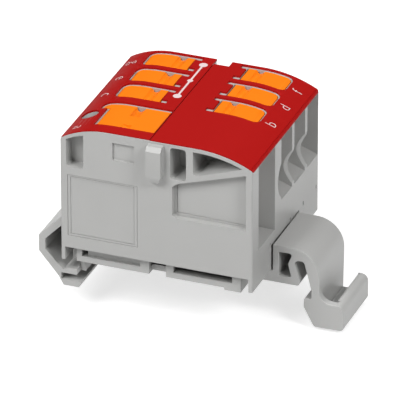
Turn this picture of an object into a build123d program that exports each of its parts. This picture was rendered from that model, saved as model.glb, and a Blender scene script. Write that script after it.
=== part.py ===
"""Power distribution block: a moulded case with two red covers, seven spring clamps on
one busbar, a push button for each clamp, and a clip-on foot with a sprung latch.

Millimetres, +Z up. The origin is the middle of the foot's seating plane, which rests on
two flanges 35 mm across. The case is worked out in its own frame (x from its middle,
y from its front face, z from the seating plane) and is then moved by case_x and to the
middle of its depth.
"""

from build123d import *
import math
import os
from dataclasses import dataclass

# Mounting flanges that the foot grips
flange_span = 35.0
flange_thickness = 1.0
flange_clearance = 0.1

# Cuts run this far past the faces that they open
overrun = 1.0

# Case
case_width = 28.8
case_depth = 26.9
case_x = -2.75
top_height = 24.0
left_step = 0.05
left_flat = 7.5
right_flat = 6.0
left_drop = 2.0
right_drop = 2.1
case_corner_radius = 0.25
skirt_bottom = 2.8
skirt_wall = 0.6
face_bottom = 4.85
face_wall = 0.95
skirt_cavity_top = 7.3
half_width = case_width / 2

# Covers
cover_thickness = 0.3
cover_margin = 0.25
cover_joint = 0.05
cover_corner = 0.35
seam_x = -0.97
seam_gap = 0.04
rim_width = 0.2
rim_below_cover = 0.1
rim_height = 5.0

# Side channels for the conductors, and the cavity between them
channel_depth = 2.6
wire_wall = 0.7
channel_wall = half_width - channel_depth
cavity_half = channel_wall - wire_wall
cavity_front = 2.2
cavity_back_wall = 0.4
cavity_back = case_depth - cavity_back_wall
funnel_back_wall = 0.5

# Busbar
bar_below_top = 7.3
bar_thickness = 1.0
bar_end_room = 1.35
bar_corner_radius = 0.6
bar_room = 0.05
bar_underside = top_height - bar_below_top
bar_top = bar_underside + bar_thickness
cavity_top = bar_top + bar_room

# Push buttons
opening_corner = 0.9
button_gap = 0.12
button_recess = 0.25
button_height = 4.6
button_bottom = top_height - button_height
button_shoulder = 0.6
shoulder_height = 0.8
shoulder_inset = 0.6
slit_width = 1.0
slit_reach = 0.95
tool_notch_depth = 1.6
tool_scoop_radius = 0.9
tool_scoop_depth = 0.3
tool_scoop_near = 1.1
tool_scoop_far = 2.9
stem_gap = 0.15
stem_margin = 0.65
leg_gap = 0.1

# Contact tray
tray_bottom = 7.0
tray_clearance = 0.05
tray_core_wall = 1.0
tray_end_wall = 1.2

# Foot
foot_front = 1.0
foot_back = case_depth - foot_front
foot_floor_bottom = 2.3
foot_floor_top = 3.2
foot_left_inset = 1.95
foot_right_inset = 2.1
foot_left = -half_width + foot_left_inset
foot_right = half_width - foot_right_inset
foot_wall = 0.75
foot_ring_wall = 1.4
window_top = 4.2
pad_bottom = 1.95
pad_left = 9.8
pad_depth = 3.0
foot_windows = [(-11.65, -10.9), (2.2, 11.0)]
foot_panel = (-10.9, -2.85)
foot_panel_depth = 0.5
foot_gap = (-1.45, 1.05)
foot_clearance = 0.05
foot_top = tray_bottom - foot_clearance

# Hook
hook_strip = 1.0
hook_out = 3.8
hook_top = 9.2
hook_bend = 2.9
hook_root_wall = 1.1
hook_play = 0.1
hook_nose = 2.9
hook_nose_thickness = 0.85
hook_nose_chamfer = 0.3
hook_open = 3.5
hook_knee = 0.35
post_set_back = 1.6
seat_thickness = 0.9
seat_gap = 0.25

# Latch
latch_width = 9.8
latch_front = 9.0
latch_back = latch_front + latch_width
latch_slit = 0.2
beam_length = 7.6
beam_drop = 0.4
box_wall = 0.85
box_left_wall = 1.25
box_hole_width = 2.15
box_hole_bottom = 1.25
box_hole_top = 5.0
arch_radius = 4.2
arm_wall = 1.25
arm_outer = -case_x + flange_span / 2 + arm_wall
arch_centre_x = arm_outer - arch_radius
arch_centre_z = 2.2
latch_top = arch_centre_z + arch_radius
pivot_x = arch_centre_x + 0.95
pivot_z = 5.4
knuckle_radius = 0.85
knuckle_gap = 0.1
lip_reach = 3.65
lip_outer = arm_outer + lip_reach
lip_wall = 1.7
lip_top = -1.75
lip_bottom = -5.9
pocket_floor = -4.0
pocket_fillet = 0.9
pocket_near_wall = 1.2
lip_round = 1.1
nose_grip = 1.35
nose_depth = 1.8
arm_set_back = 0.6
web_root = 0.3

# The rows of small clamps behind the large one
large_clamp_y = 6.05
first_row = 13.7
row_count = 3
last_row = case_depth - 2.56
row_pitch = (last_row - first_row) / (row_count - 1)
opening_bridge = 1.32
cell_wall = 1.42
channel_partition = 0.92


@dataclass
class Clamp:
    """One clamping point: its place, its button opening, its wire channel and its loop
    spring. Lengths along the case's width are counted outwards from its middle."""

    name: str
    side: int
    y: float
    opening_outer: float = cavity_half - 0.4
    opening_length: float = 6.85
    opening_width: float = row_pitch - opening_bridge
    step_length: float = 0.0
    step_width: float = 0.0
    chamber_length: float = 6.75
    chamber_width: float = row_pitch - cell_wall
    channel_width: float = row_pitch - channel_partition
    channel_top: float = top_height
    bore_inset: float = 0.1
    bore_below_bar: float = 1.7
    mouth_margin: float = 1.3
    ramp_drop: float = 3.2
    spring_base: float = 9.4
    loop_radius: float = 1.4
    loop_gap: float = 0.3
    leg_reach: float = 5.45
    strip: float = 0.35
    strip_margin: float = 0.2
    stem_length: float = 1.5
    prong_margin: float = 0.15
    prong: float = 0.6
    window_margin: float = 0.15
    tool_back: float = 4.8
    tool_notch_radius: float = 0.42

    def __post_init__(self):
        self.opening_inner = self.opening_outer - self.opening_length
        self.chamber_inner = cavity_half - self.chamber_length
        self.axis_z = bar_underside - self.bore_below_bar
        self.bore_radius = self.channel_width / 2 - self.bore_inset
        self.mouth_radius = self.channel_width / 2 + self.mouth_margin
        self.strip_width = self.chamber_width - 2 * self.strip_margin
        self.prong_inner = self.chamber_width / 2 - self.prong_margin - self.prong
        self.loop_u = cavity_half - self.loop_gap - self.strip / 2 - self.loop_radius
        self.loop_z = self.spring_base + self.loop_radius
        self.quarter = math.sqrt(0.5) * self.loop_radius
        # The leg leaves the loop at about 45 degrees and ends just under the busbar
        self.leg_u = cavity_half - self.leg_reach
        self.leg_z = bar_underside - leg_gap - self.strip * math.sqrt(0.5)
        rise = self.leg_z - self.loop_z - self.quarter
        self.leg_slope = rise / (self.loop_u + self.quarter - self.leg_u)
        self.stem_inner = self.leg_u + stem_margin
        self.stem_outer = self.stem_inner + self.stem_length


large_opening_outer = cavity_half + 0.05
large_opening_inner = -seam_x + 0.13
large_clamp = Clamp(
    "a",
    -1,
    large_clamp_y,
    opening_outer=large_opening_outer,
    opening_length=large_opening_outer - large_opening_inner,
    opening_width=6.9,
    step_length=1.1,
    step_width=5.35,
    chamber_width=6.3,
    channel_width=6.6,
    channel_top=top_height - 5.8,
    bore_inset=0.5,
    mouth_margin=0.9,
    ramp_drop=4.2,
    spring_base=8.4,
    loop_radius=1.9,
    leg_reach=5.72,
    strip=0.45,
    strip_margin=0.45,
    stem_length=1.8,
    prong_margin=0.45,
    prong=0.8,
    tool_back=5.4,
    tool_notch_radius=0.6,
)
clamps = [large_clamp]
for index, (left_name, right_name) in enumerate(zip("ceg", "bdf", strict=True)):
    row_y = first_row + index * row_pitch
    clamps.append(Clamp(left_name, -1, row_y))
    clamps.append(Clamp(right_name, 1, row_y))


@dataclass
class Pocket:
    """A rectangular recess in the front face."""

    left: float
    right: float
    bottom: float
    top: float
    depth: float
    corner: float = 0.0

    def cut(self):
        """The recess as a solid to take away."""
        size = block(self.left, self.right, -overrun, self.depth, self.bottom, self.top)
        return fillet(size.edges().filter_by(Axis.Y), self.corner) if self.corner else size


# The front face, from left to right. The panel's heights count down from the covers
front_window = Pocket(-13.5, -10.9, top_height - 6.35, top_height, 2.0, corner=0.5)
front_square = Pocket(-6.55, -3.25, top_height - 4.05, top_height - 1.35, 0.35)
front_slot = Pocket(2.1, 4.5, top_height - 5.45, top_height - 0.5, 4.0, corner=0.5)
label_field = Pocket(-13.35, -2.8, 6.75, 16.45, 0.07)
label_edge = 0.5
label_inner = Pocket(label_field.left + label_edge, label_field.right - label_edge,
                     label_field.bottom + label_edge, label_field.top - label_edge, 0.14)
web_depth = 5.0
web_corner = 0.45
web_outline = [(5.5, top_height + 1.65), (5.55, top_height - 4.45),
               (12.85, top_height - 2.0), (12.85, top_height + 1.65)]
window_below_top = 0.6
panel_depth = 0.9
panel_outline = [(2.4, 11.15), (2.4, 6.65), (3.1, 6.05), (13.4, 2.85), (13.4, 11.5), (2.9, 11.5)]
panel_inner_depth = 1.0
panel_inner_outline = [(2.75, 11.0), (2.75, 6.75), (3.2, 6.35), (13.15, 3.25), (13.15, 11.25)]

# The deep recess in the right wall
side_recess_front = 2.4
side_recess_back = 9.0
side_recess_floor = 8.4

# Small slots low in the right wall, one for each channel
wall_slot_width = 0.36
wall_slot_depth = skirt_wall
wall_slot_bottom = 6.5
wall_slot_top = 7.15
wall_slot_offset = 1.65

# The hole for a test probe
test_hole_x = -12.3
test_hole_y = 6.2
test_hole_radius = 1.3
test_hole_bottom = top_height - 4.55

# The coupling pin on the front and the notch in the back
pin_left = -1.03
pin_right = 1.2
pin_out = 1.4
pin_bottom = top_height - 6.2
pin_top = top_height - 0.35
pin_taper = 1.3
notch_clearance = 0.1
notch_depth = pin_out + notch_clearance
notch_bottom = pin_bottom - 0.5
notch_wall = 1.0


def block(x0, x1, y0, y1, z0, z1):
    """A box between two corners, the x limits in either order."""
    size = Box(abs(x1 - x0), y1 - y0, z1 - z0)
    return Pos((x0 + x1) / 2, (y0 + y1) / 2, (z0 + z1) / 2) * size


def across(outline, y0=-overrun, y1=case_depth + overrun):
    """An outline in x and z, carried through the depth from y0 to y1."""
    return Pos(0, y0, 0) * extrude(Plane.XZ * outline, -(y1 - y0))


def polygon(points):
    """A flat face with straight sides through (x, z) points."""
    return make_face(Polyline(*points, close=True))


def rod(x0, x1, y, z, radius):
    """A cylinder along x between two places."""
    length = abs(x1 - x0)
    return Pos((x0 + x1) / 2, y, z) * Rot(0, 90, 0) * Cylinder(radius, length)


def top_line(drop):
    """The top of the covers as edges from left to right, lowered by drop."""
    left_top = top_height + left_step - drop
    right_top = top_height - drop
    left_end = (-half_width, left_top - left_drop)
    right_end = (half_width, right_top - right_drop)
    return [
        TangentArc((-left_flat, left_top), left_end, tangent=(-1, 0)),
        Line((-left_flat, left_top), (seam_x, left_top)),
        Line((seam_x, left_top), (seam_x, right_top)),
        Line((seam_x, right_top), (right_flat, right_top)),
        TangentArc((right_flat, right_top), right_end, tangent=(1, 0)),
    ]


def under_top(drop, bottom=0.0):
    """The face between the lowered top line and a level bottom."""
    left_end = (-half_width, top_height + left_step - left_drop - drop)
    right_end = (half_width, top_height - right_drop - drop)
    sides = Polyline(left_end, (-half_width, bottom), (half_width, bottom), right_end)
    return make_face(top_line(drop) + [sides])


def on_side(clamp, u0, u1, y0, y1, z0, z1):
    """A box on the clamp's side of the case, with u counted outwards from the middle."""
    return block(clamp.side * u0, clamp.side * u1, y0, y1, z0, z1)


def opening(clamp, grow, z0, z1):
    """The clamp's button opening, grown on all sides, from z0 to z1. The large one has a
    step in its outer front corner, which leaves room for the test hole."""
    length = clamp.opening_length + 2 * grow
    width = clamp.opening_width + 2 * grow
    middle = clamp.side * (clamp.opening_outer + clamp.opening_inner) / 2
    body = Pos(middle, clamp.y, (z0 + z1) / 2) * Box(length, width, z1 - z0)
    ends = body.edges().filter_by(Axis.Z).group_by(Axis.X)
    outer = ends[0] if clamp.side < 0 else ends[-1]
    if not clamp.step_length:
        return fillet(outer, opening_corner + grow)
    body = fillet(outer.sort_by(Axis.Y)[-1], opening_corner + grow)
    front = clamp.y - clamp.opening_width / 2
    return body - on_side(clamp, clamp.opening_outer - clamp.step_length + grow,
                          clamp.opening_outer + overrun, front - overrun,
                          front + clamp.step_width - grow, z0, z1)


def cover_cut(clamp):
    """What a cover leaves free above a button: the opening with a margin on its outer end
    and sides, and on a small one two slits that run inwards along its long sides."""
    roof = top_height + overrun
    cut = opening(clamp, cover_margin, 0, roof)
    cut &= on_side(clamp, clamp.opening_inner, half_width, 0, case_depth, 0, roof)
    if clamp is large_clamp:
        return cut
    for edge in (-1, 1):
        outer = clamp.y + edge * (clamp.opening_width / 2 + cover_margin)
        low, high = sorted((outer, outer - edge * slit_width))
        cut += on_side(clamp, clamp.opening_inner - slit_reach,
                       clamp.opening_inner + slit_width, low, high, 0, roof)
    return cut


def build_case():
    """The grey case: arched shell, wire channels, button pockets and coupling pin."""
    body = across(under_top(cover_thickness, skirt_bottom), 0, case_depth)
    corners = body.edges().filter_by(Axis.Z)
    corners = [edge for edge in corners if abs(abs(edge.center().X) - half_width) < 0.01]
    body = fillet(corners, case_corner_radius)
    rim = across(under_top(rim_below_cover, top_height - rim_height), 0, rim_width)
    rim_half = half_width - case_corner_radius / 2
    body += rim & block(-rim_half, rim_half, 0, rim_width, 0, top_height)

    inside = half_width - skirt_wall
    back_inside = case_depth - face_wall
    body -= block(-cavity_half, cavity_half, cavity_front, cavity_back, 0, cavity_top)
    body -= block(-inside, inside, face_wall, back_inside, 0, skirt_cavity_top)
    body -= block(-inside, inside, -overrun, case_depth + overrun, 0, face_bottom)
    body -= block(-half_width - overrun, -half_width + hook_root_wall + hook_play,
                  foot_front + hook_open - hook_play, foot_back + hook_play, 0,
                  hook_top + hook_play)
    body -= block(inside - overrun, half_width + overrun, latch_front - latch_slit,
                  latch_back + latch_slit, 0, latch_top + latch_slit)

    roof = top_height + overrun
    for clamp in clamps:
        body -= opening(clamp, 0.0, bar_top, roof)
        reach = clamp.opening_width / 2 - shoulder_inset + button_gap
        body -= on_side(clamp, clamp.opening_inner - button_shoulder - button_gap,
                        clamp.opening_inner + button_gap, clamp.y - reach, clamp.y + reach,
                        bar_top, button_bottom + shoulder_height + button_gap)
        body -= wire_channel(clamp)
    body -= block(channel_wall, half_width + overrun, side_recess_front, side_recess_back,
                  side_recess_floor, roof)
    body = cut_front(body)
    body -= test_hole()
    body += coupling_notch_wall()
    body -= coupling_notch()
    body += coupling_pin()
    for y in wall_slot_rows():
        body -= block(half_width - wall_slot_depth, half_width + overrun, y - wall_slot_width / 2,
                      y + wall_slot_width / 2, wall_slot_bottom, wall_slot_top)
    return body


def wall_slot_rows():
    """The depths of the small slots low in the right wall, beside each channel."""
    rows = [(side_recess_front + side_recess_back) / 2]
    rows += [clamp.y for clamp in clamps if clamp.side > 0]
    return [y + wall_slot_offset for y in rows]


def wire_channel(clamp):
    """The slot, ramp, funnel and bore through which a conductor reaches one clamp."""
    radius = clamp.channel_width / 2
    front, back = clamp.y - radius, clamp.y + radius
    floor = clamp.axis_z - radius
    lowest = clamp.axis_z - clamp.ramp_drop
    outside = half_width + overrun
    slot = across(polygon([
        (clamp.side * channel_wall, clamp.channel_top),
        (clamp.side * channel_wall, floor),
        (clamp.side * half_width, lowest),
        (clamp.side * outside, lowest),
        (clamp.side * outside, clamp.channel_top),
    ]), front, back)
    reach = clamp.mouth_radius - radius + overrun
    cone = Rot(0, 90 * clamp.side, 0) * Cone(radius, clamp.mouth_radius + overrun, reach)
    funnel = Pos(clamp.side * (outside - reach / 2), clamp.y, clamp.axis_z) * cone
    funnel &= block(-outside, outside, 0, case_depth - funnel_back_wall, lowest, top_height)
    bore = rod(clamp.side * (cavity_half - overrun), clamp.side * (channel_wall + overrun),
               clamp.y, clamp.axis_z, clamp.bore_radius)
    bore &= on_side(clamp, cavity_half, channel_wall, front, back, 0, top_height)
    return slot + funnel + bore


def cut_front(body):
    """The windows and recesses of the front face."""
    below_top = across(under_top(window_below_top))
    body -= front_window.cut() & below_top
    for pocket in (front_square, front_slot, label_field, label_inner):
        body -= pocket.cut()
    web = across(polygon(web_outline), -overrun, web_depth)
    lowest = web.edges().filter_by(Axis.Y).sort_by(Axis.Z)[0]
    body -= fillet(lowest, web_corner) & below_top
    for outline, depth in ((panel_outline, panel_depth), (panel_inner_outline, panel_inner_depth)):
        face = polygon([(x, top_height - below) for x, below in outline])
        body -= across(face, -overrun, depth)
    return body


def test_hole():
    """The round hole for a test probe, down through the left cover into the case."""
    height = top_height + overrun - test_hole_bottom
    hole = Cylinder(test_hole_radius, height)
    return Pos(test_hole_x, test_hole_y, test_hole_bottom + height / 2) * hole


def coupling_pin():
    """The pin on the front face that couples the next block, tapered at both ends."""
    side = polygon([
        (rim_width, pin_bottom),
        (-pin_out / 2, pin_bottom),
        (-pin_out, pin_bottom + pin_taper),
        (-pin_out, pin_top - pin_taper / 2),
        (-pin_out * 2 / 3, pin_top),
        (rim_width, pin_top),
    ])
    body = Pos(pin_left, 0, 0) * extrude(Plane.YZ * side, pin_right - pin_left)
    taper = polygon([
        (pin_left, pin_bottom + pin_taper),
        (pin_left + pin_taper / 2, pin_bottom),
        (pin_right - pin_taper / 2, pin_bottom),
        (pin_right, pin_bottom + pin_taper),
        (pin_right, top_height),
        (pin_left, top_height),
    ])
    return body & across(taper, -pin_out, rim_width)


def coupling_notch_wall():
    """The wall that closes the case around the back notch, inside the cavity."""
    return block(pin_left - notch_wall, pin_right + notch_wall, case_depth - notch_depth - notch_wall,
                 cavity_back + cavity_back_wall / 2, notch_bottom - notch_wall, cavity_top)


def coupling_notch():
    """The notch in the back that takes the pin of the block behind."""
    return block(pin_left - notch_clearance, pin_right + notch_clearance, case_depth - notch_depth,
                 case_depth + overrun, notch_bottom, top_height + overrun)


def build_cover(side):
    """One red cover: a thin arched sheet with its openings."""
    sheet = across(under_top(0), rim_width + cover_joint, case_depth)
    corners = sheet.edges().filter_by(Axis.Z)
    corners = [edge for edge in corners if abs(abs(edge.center().X) - half_width) < 0.01]
    sheet = fillet(corners, cover_corner) - across(under_top(cover_thickness))
    edge = seam_x + side * seam_gap
    roof = top_height + overrun
    sheet &= block(edge, side * (half_width + overrun), 0, case_depth, 0, roof)
    for clamp in clamps:
        if clamp.side == side:
            sheet -= cover_cut(clamp)
    return sheet - (test_hole() if side < 0 else coupling_notch())


def build_spring(clamp):
    """A loop spring: a base strip, a round loop and a leg that rises to the busbar."""
    turn = math.radians(-22.5)
    loop_start = (clamp.loop_u, clamp.spring_base)
    loop_middle = (clamp.loop_u + clamp.loop_radius * math.cos(turn),
                   clamp.loop_z + clamp.loop_radius * math.sin(turn))
    loop_end = (clamp.loop_u + clamp.quarter, clamp.loop_z + clamp.quarter)
    base = Line((clamp.chamber_inner + clamp.strip, clamp.spring_base), loop_start)
    loop = ThreePointArc(loop_start, loop_middle, loop_end)
    leg = Line(loop_end, (clamp.leg_u, clamp.leg_z))
    outline = trace(Wire([base, loop, leg]), line_width=clamp.strip)
    body = across(outline, -clamp.strip_width / 2, clamp.strip_width / 2)
    if clamp.side < 0:
        body = mirror(body, Plane.YZ)
    return Pos(0, clamp.y, 0) * body


def build_button(clamp):
    """A push button: curved top, tool notch and two prongs that press the spring leg."""
    body = opening(clamp, -button_gap, button_bottom, top_height + overrun)
    body &= across(under_top(button_recess))
    reach = clamp.opening_width / 2 - shoulder_inset
    body += on_side(clamp, clamp.opening_inner - button_shoulder,
                    clamp.opening_inner + button_shoulder, clamp.y - reach, clamp.y + reach,
                    button_bottom, button_bottom + shoulder_height)
    # The prongs end along the leg's upper face
    lift = clamp.strip / 2 * math.hypot(1, clamp.leg_slope) + stem_gap
    inner_end = clamp.leg_z + lift - clamp.leg_slope * stem_margin
    outer_end = inner_end - clamp.leg_slope * clamp.stem_length
    prong = polygon([
        (clamp.side * clamp.stem_inner, inner_end),
        (clamp.side * clamp.stem_outer, outer_end),
        (clamp.side * clamp.stem_outer, button_bottom + shoulder_height),
        (clamp.side * clamp.stem_inner, button_bottom + shoulder_height),
    ])
    for edge in (-1, 1):
        near = clamp.y + edge * clamp.prong_inner
        low, high = sorted((near, near + edge * clamp.prong))
        body += across(prong, low, high)
    half = clamp.opening_width / 2 - button_gap
    tool_x = clamp.side * (clamp.opening_outer - clamp.tool_back)
    surface = top_height - button_recess
    notch = Cylinder(clamp.tool_notch_radius, 2 * tool_notch_depth)
    body -= Pos(tool_x, clamp.y + half, surface) * notch
    # Two shallow scoops lead a screwdriver to the notch
    scoop_z = surface - tool_scoop_depth + tool_scoop_radius
    ends = ((clamp.y - half - overrun, clamp.y - half + tool_scoop_near),
            (clamp.y + half - tool_scoop_far, clamp.y + half + overrun))
    for y0, y1 in ends:
        scoop = Cylinder(tool_scoop_radius, y1 - y0)
        body -= Pos(tool_x, (y0 + y1) / 2, scoop_z) * Rot(90, 0, 0) * scoop
    return body


def build_busbar():
    """The busbar: one plate that joins every clamp, with a window for each button."""
    front = min(clamp.y - clamp.chamber_width / 2 for clamp in clamps)
    back = max(clamp.y + clamp.chamber_width / 2 for clamp in clamps)
    end = cavity_half - bar_end_room
    plate = block(-end, end, front, back, bar_underside, bar_top)
    plate = fillet(plate.edges().filter_by(Axis.Z), bar_corner_radius)
    for clamp in clamps:
        reach = clamp.prong_inner + clamp.prong + clamp.window_margin
        plate -= on_side(clamp, clamp.stem_inner - clamp.window_margin,
                         clamp.stem_outer + clamp.window_margin,
                         clamp.y - reach, clamp.y + reach, 0, top_height)
    wall = coupling_notch_wall().bounding_box()
    return plate - block(wall.min.X - notch_clearance, wall.max.X + notch_clearance,
                         wall.min.Y - notch_clearance, case_depth, 0, top_height)


def build_tray():
    """The contact tray: it carries the springs in cells and holds up the busbar."""
    half = cavity_half - tray_clearance
    front = cavity_front + tray_clearance
    back = cavity_back - tray_clearance
    body = block(-half, half, front, back, tray_bottom, bar_underside)
    for clamp in clamps:
        body -= on_side(clamp, clamp.chamber_inner, half + overrun,
                        clamp.y - clamp.chamber_width / 2, clamp.y + clamp.chamber_width / 2,
                        clamp.spring_base - clamp.strip / 2, top_height)
    core = large_clamp.chamber_inner - tray_core_wall
    wall = coupling_notch_wall().bounding_box()
    body -= block(-core, core, front + tray_end_wall, wall.min.Y - notch_clearance - tray_end_wall,
                  0, bar_underside - tray_end_wall)
    return body - block(wall.min.X - notch_clearance, wall.max.X + notch_clearance,
                        wall.min.Y - notch_clearance, case_depth, wall.min.Z - notch_clearance,
                        top_height)


def build_foot():
    """The foot: floor, clip-in ring, front frame, hook and the box of the latch."""
    inside = half_width - skirt_wall - foot_clearance
    floor = block(foot_left, foot_right, foot_front, foot_back, foot_floor_bottom, face_bottom)
    floor -= block(foot_left + foot_wall, foot_right - foot_wall, foot_front + foot_wall,
                   foot_back - foot_wall, foot_floor_top, foot_top)
    ring = block(-inside, inside, foot_front, foot_back, face_bottom, foot_top)
    ring -= block(-inside + foot_ring_wall, inside - foot_ring_wall, foot_front + foot_ring_wall,
                  foot_back - foot_ring_wall, face_bottom, foot_top)
    body = floor + ring
    frame_walls = ((0, foot_front + foot_ring_wall), (foot_back - foot_ring_wall, case_depth))
    for y0, y1 in frame_walls:
        for left, right in foot_windows:
            body -= block(left, right, y0, y1, foot_floor_top, window_top)
        body -= block(foot_gap[0], foot_gap[1], y0, y1, 0, face_bottom)
    body -= block(foot_panel[0], foot_panel[1], 0, foot_front + foot_panel_depth,
                  foot_floor_top, window_top)
    body += block(pad_left, foot_right, foot_front, foot_front + pad_depth, pad_bottom,
                  foot_floor_bottom)
    return body + build_hook() + build_latch_box()


def build_hook():
    """The fixed hook: a bent strip that leaves the left wall, closes on the seat for the
    left flange and ends in a nose under that flange."""
    flange_edge = -case_x - flange_span / 2
    slot_end = flange_edge - flange_clearance
    under = -flange_thickness - flange_clearance
    root = -half_width - foot_clearance
    out = -half_width - hook_out
    slope = hook_strip * math.tan(math.radians(22.5))
    nose_tip = flange_edge + hook_nose
    nose_bottom = under - hook_nose_thickness
    section = polygon([
        (root, hook_top),
        (out, hook_top - hook_out),
        (out, hook_bend),
        (slot_end - hook_knee, -flange_thickness + hook_knee),
        (slot_end + hook_knee, nose_bottom),
        (nose_tip - hook_nose_chamfer, nose_bottom),
        (nose_tip, under - hook_nose_chamfer),
        (nose_tip, under),
        (slot_end, under),
        (slot_end, 0),
        (foot_left, 0),
        (foot_left, seat_thickness),
        (flange_edge + seat_thickness, seat_thickness),
        (flange_edge + seat_gap, seat_thickness / 2),
        (out + hook_strip, hook_bend + slope),
        (out + hook_strip, hook_top - hook_out - slope),
        (root, hook_top - hook_strip * math.sqrt(2)),
    ])
    hook = across(section, foot_front, foot_back)
    post = block(foot_left, foot_left + foot_wall, foot_front + post_set_back, foot_back, 0,
                 foot_floor_bottom)
    wall = block(root, root + hook_root_wall, foot_front + hook_open, foot_back, 0, hook_top)
    seat = block(root, foot_left + foot_wall, foot_front + hook_open, foot_back, 0, foot_floor_top)
    return hook + post + wall + seat


def build_latch_box():
    """The beam under the case and the sprung box beside it, up to the latch's knuckle."""
    left = half_width - skirt_wall - foot_clearance
    hole_left = left + box_left_wall
    hole_right = hole_left + box_hole_width
    hole_waist = hole_right - box_hole_width / 4
    box_right = arch_centre_x + box_wall
    waist_z = (box_hole_bottom + box_hole_top) / 2
    beam = block(left - beam_length, hole_left, latch_front, latch_back, -beam_drop,
                 skirt_bottom - beam_drop / 2)
    outline = polygon([
        (left, 0),
        (box_right - box_wall / 2, 0),
        (box_right + box_wall / 4, box_wall),
        (hole_waist + box_wall, waist_z),
        (hole_waist + box_wall, pivot_z - box_hole_bottom),
        (pivot_x, pivot_z - knuckle_radius),
        (pivot_x, pivot_z + knuckle_radius),
        (arch_centre_x, latch_top),
        (left, latch_top),
    ])
    hole = polygon([
        (hole_left, box_hole_bottom),
        (hole_right, box_hole_bottom),
        (hole_waist, waist_z),
        (hole_right, box_hole_top),
        (hole_left, box_hole_top),
    ])
    box = across(outline, latch_front, latch_back) - across(hole)
    knuckle = (Pos(pivot_x, (latch_front + latch_back) / 2, pivot_z)
               * Rot(90, 0, 0) * Cylinder(knuckle_radius, latch_width))
    return beam + box + knuckle


def build_latch():
    """The latch arm: it hangs from the arch, hooks under the right flange and ends in a
    lip with a pocket for a screwdriver."""
    flange_edge = -case_x + flange_span / 2
    under = -flange_thickness - flange_clearance
    nose_tip = flange_edge - nose_grip
    inner_wall = lip_outer - lip_wall
    arch = ThreePointArc(
        (arch_centre_x, latch_top),
        (arch_centre_x + arch_radius * math.sqrt(0.5),
         arch_centre_z + arch_radius * math.sqrt(0.5)),
        (arm_outer, arch_centre_z),
    )
    rest = Polyline(
        (arm_outer, arch_centre_z),
        (arm_outer, pocket_floor + pocket_fillet),
        (arm_outer + pocket_fillet, pocket_floor),
        (inner_wall, pocket_floor),
        (inner_wall, lip_top - lip_round / 4),
        (inner_wall + lip_round / 4, lip_top),
        (lip_outer - lip_round, lip_top),
        (lip_outer - lip_round / 3, lip_top - lip_round / 3),
        (lip_outer, lip_top - lip_round),
        (lip_outer, lip_bottom + lip_round / 2),
        (lip_outer - lip_round / 2, lip_bottom),
        (flange_edge, lip_bottom),
        (nose_tip, under - nose_depth),
        (nose_tip, under),
        (flange_edge, under),
        (flange_edge - seat_gap, under + seat_gap),
        (pivot_x + arm_set_back, pivot_z - box_hole_bottom),
        (pivot_x + knuckle_gap, pivot_z - knuckle_radius),
        (arch_centre_x, pivot_z),
        (arch_centre_x, latch_top),
    )
    body = across(make_face([arch, rest]), latch_front, latch_back)
    web = polygon([
        (arm_outer - web_root, pocket_floor - web_root),
        (arm_outer - web_root, lip_top + lip_round),
        (arm_outer + pocket_fillet, lip_top),
        (inner_wall + lip_round / 4, lip_top),
        (inner_wall + lip_round / 4, pocket_floor - web_root),
    ])
    body += across(web, latch_front, latch_front + pocket_near_wall)
    middle = (latch_front + latch_back) / 2
    socket = Rot(90, 0, 0) * Cylinder(knuckle_radius + knuckle_gap, latch_width + overrun)
    body -= Pos(pivot_x, middle, pivot_z) * socket
    body -= block(0, pivot_x + knuckle_radius / 3, 0, case_depth, pivot_z, latch_top + overrun)
    return body - block(0, pivot_x + knuckle_gap / 2, 0, case_depth, 0, pivot_z)


def place(shape):
    """From the case's own frame to the part's frame."""
    return Pos(case_x, -case_depth / 2, 0) * shape


pieces = {
    "case": build_case(),
    "cover_left": build_cover(-1),
    "cover_right": build_cover(1),
    "busbar": build_busbar(),
    "contact_tray": build_tray(),
    "foot": build_foot(),
    "latch": build_latch(),
}
for clamp in clamps:
    pieces[f"button_{clamp.name}"] = build_button(clamp)
    pieces[f"spring_{clamp.name}"] = build_spring(clamp)

os.makedirs("parts", exist_ok=True)
for name, shape in pieces.items():
    export_step(place(shape), f"parts/{name}.step")
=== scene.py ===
"""Looks of a power distribution block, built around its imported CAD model.

The model's own frame is in metres: +X towards the latch, +Y from the face with the coupling
pin to the back, +Z up from the foot's seating plane. The sizes in the classes below are
millimetres in the case's own frame (see across), but those written with MM are metres.
"""

import logging
import math
from dataclasses import dataclass, field
from enum import Enum
from typing import Callable, Iterable, Sequence

import bpy
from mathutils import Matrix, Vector


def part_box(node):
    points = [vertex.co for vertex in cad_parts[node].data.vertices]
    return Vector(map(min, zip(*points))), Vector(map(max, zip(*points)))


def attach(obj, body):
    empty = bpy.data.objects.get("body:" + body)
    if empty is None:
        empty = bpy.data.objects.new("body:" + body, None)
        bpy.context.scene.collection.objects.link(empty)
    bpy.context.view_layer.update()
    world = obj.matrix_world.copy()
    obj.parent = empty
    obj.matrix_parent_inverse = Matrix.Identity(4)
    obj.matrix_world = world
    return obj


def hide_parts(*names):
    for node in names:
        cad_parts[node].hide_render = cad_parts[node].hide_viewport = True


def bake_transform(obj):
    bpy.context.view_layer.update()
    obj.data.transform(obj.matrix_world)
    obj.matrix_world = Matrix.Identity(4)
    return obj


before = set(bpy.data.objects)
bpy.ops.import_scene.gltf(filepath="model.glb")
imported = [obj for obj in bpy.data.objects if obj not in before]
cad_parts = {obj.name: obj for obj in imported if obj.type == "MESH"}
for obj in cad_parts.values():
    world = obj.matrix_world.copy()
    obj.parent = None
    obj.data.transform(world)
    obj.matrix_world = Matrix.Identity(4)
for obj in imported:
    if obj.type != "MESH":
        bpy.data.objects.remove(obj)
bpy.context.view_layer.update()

MM = 0.001
CASE_MIDDLE_X = -2.75
HALF_DEPTH = 13.45
COVER_TOP = 24.0

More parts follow.
